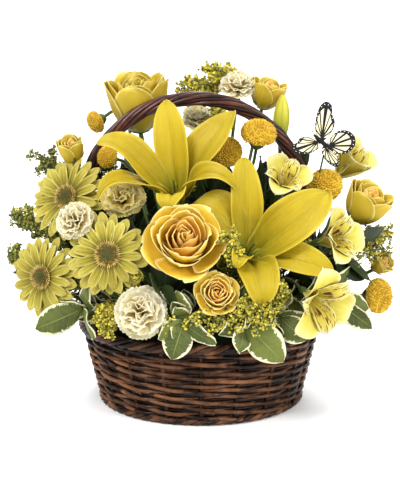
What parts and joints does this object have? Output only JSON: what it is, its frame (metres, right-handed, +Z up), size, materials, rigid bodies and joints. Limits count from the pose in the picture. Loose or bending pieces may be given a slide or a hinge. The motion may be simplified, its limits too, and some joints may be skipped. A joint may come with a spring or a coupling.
{
  "type": "flower basket arrangement",
  "caption": "Round willow basket with a twisted hoop handle, filled with yellow and cream lilies, roses, gerberas, carnations and filler foliage, with a butterfly on a wire.",
  "frame": {"origin": "centre of the basket's flat bottom, on the surface it stands on", "axes": "+Z up along the basket's axis, the front of the arrangement faces -Y, +X to the viewer's right, the handle spans the basket along X"},
  "size_m": [0.3839, 0.2958, 0.3408],
  "materials": {
    "willow": "stained and varnished peeled willow rods, satin",
    "willow_handle": "stained and varnished twisted willow rods, satin",
    "liner": "thin dark moulded liner",
    "foam": "soaked green floral foam, matt",
    "lily": "bright yellow waxy petals with fine ribs",
    "bud": "green-yellow bud",
    "rose": "golden yellow velvety petals",
    "spray_rose": "golden yellow velvety petals",
    "gerbera": "pale green-yellow ray petals with fine ribs",
    "gerbera_disc": "grey-green and brown tight florets",
    "carnation": "cream frilled petals",
    "button": "deep golden tight florets",
    "alstroemeria": "pale yellow petals with cream tips and brown streaks",
    "goldenrod": "fluffy yellow-green florets",
    "leaf_variegated": "green leaves with cream margins, slightly glossy",
    "leaf_dark": "dark green leaves, slightly glossy",
    "butterfly": "cream wings with black veins and borders",
    "wire": "green lacquered wire"
  },
  "bodies": {
    "root": {"alstroemeria_high": "alstroemeria", "alstroemeria_inner": "alstroemeria", "alstroemeria_low": "alstroemeria", "alstroemeria_middle": "alstroemeria", "basket_base": "willow", "basket_border": "willow", "basket_handle": "willow_handle", "basket_wall": "willow", "butterfly": "butterfly", "butterfly_wire": "wire", "button_arch": "button", "button_back_left": "button", "button_high": "button", "button_left": "button", "button_low_right": "button", "button_right": "button", "carnation_back": "carnation", "carnation_centre": "carnation", "carnation_front": "carnation", "carnation_left": "carnation", "carnation_top": "carnation", "foam_block": "foam", "foliage_back": "leaf_dark", "foliage_back_left": "leaf_dark", "foliage_back_right": "leaf_dark", "foliage_front": "leaf_dark", "foliage_left": "leaf_dark", "foliage_right": "leaf_dark", "foliage_upper": "leaf_dark", "foliage_upper_right": "leaf_dark", "gerbera_centre": "gerbera", "gerbera_centre_disc": "gerbera_disc", "gerbera_lower": "gerbera", "gerbera_lower_disc": "gerbera_disc", "gerbera_upper": "gerbera", "gerbera_upper_disc": "gerbera_disc", "goldenrod_centre": "goldenrod", "goldenrod_front": "goldenrod", "goldenrod_front_left": "goldenrod", "goldenrod_left_high": "goldenrod", "goldenrod_left_low": "goldenrod", "goldenrod_left_middle": "goldenrod", "goldenrod_right": "goldenrod", "goldenrod_top": "goldenrod", "lily_bud": "bud", "lily_front": "lily", "lily_upper": "lily", "liner": "liner", "pittosporum_front": "leaf_variegated", "pittosporum_front_left": "leaf_variegated", "pittosporum_front_right": "leaf_variegated", "pittosporum_left": "leaf_variegated", "pittosporum_right": "leaf_variegated", "rose_back": "rose", "rose_front": "rose", "spray_rose_front": "spray_rose", "spray_rose_left": "spray_rose", "spray_rose_low": "spray_rose", "spray_rose_right": "spray_rose", "spray_rose_top": "spray_rose"}
  },
  "joints": []
}
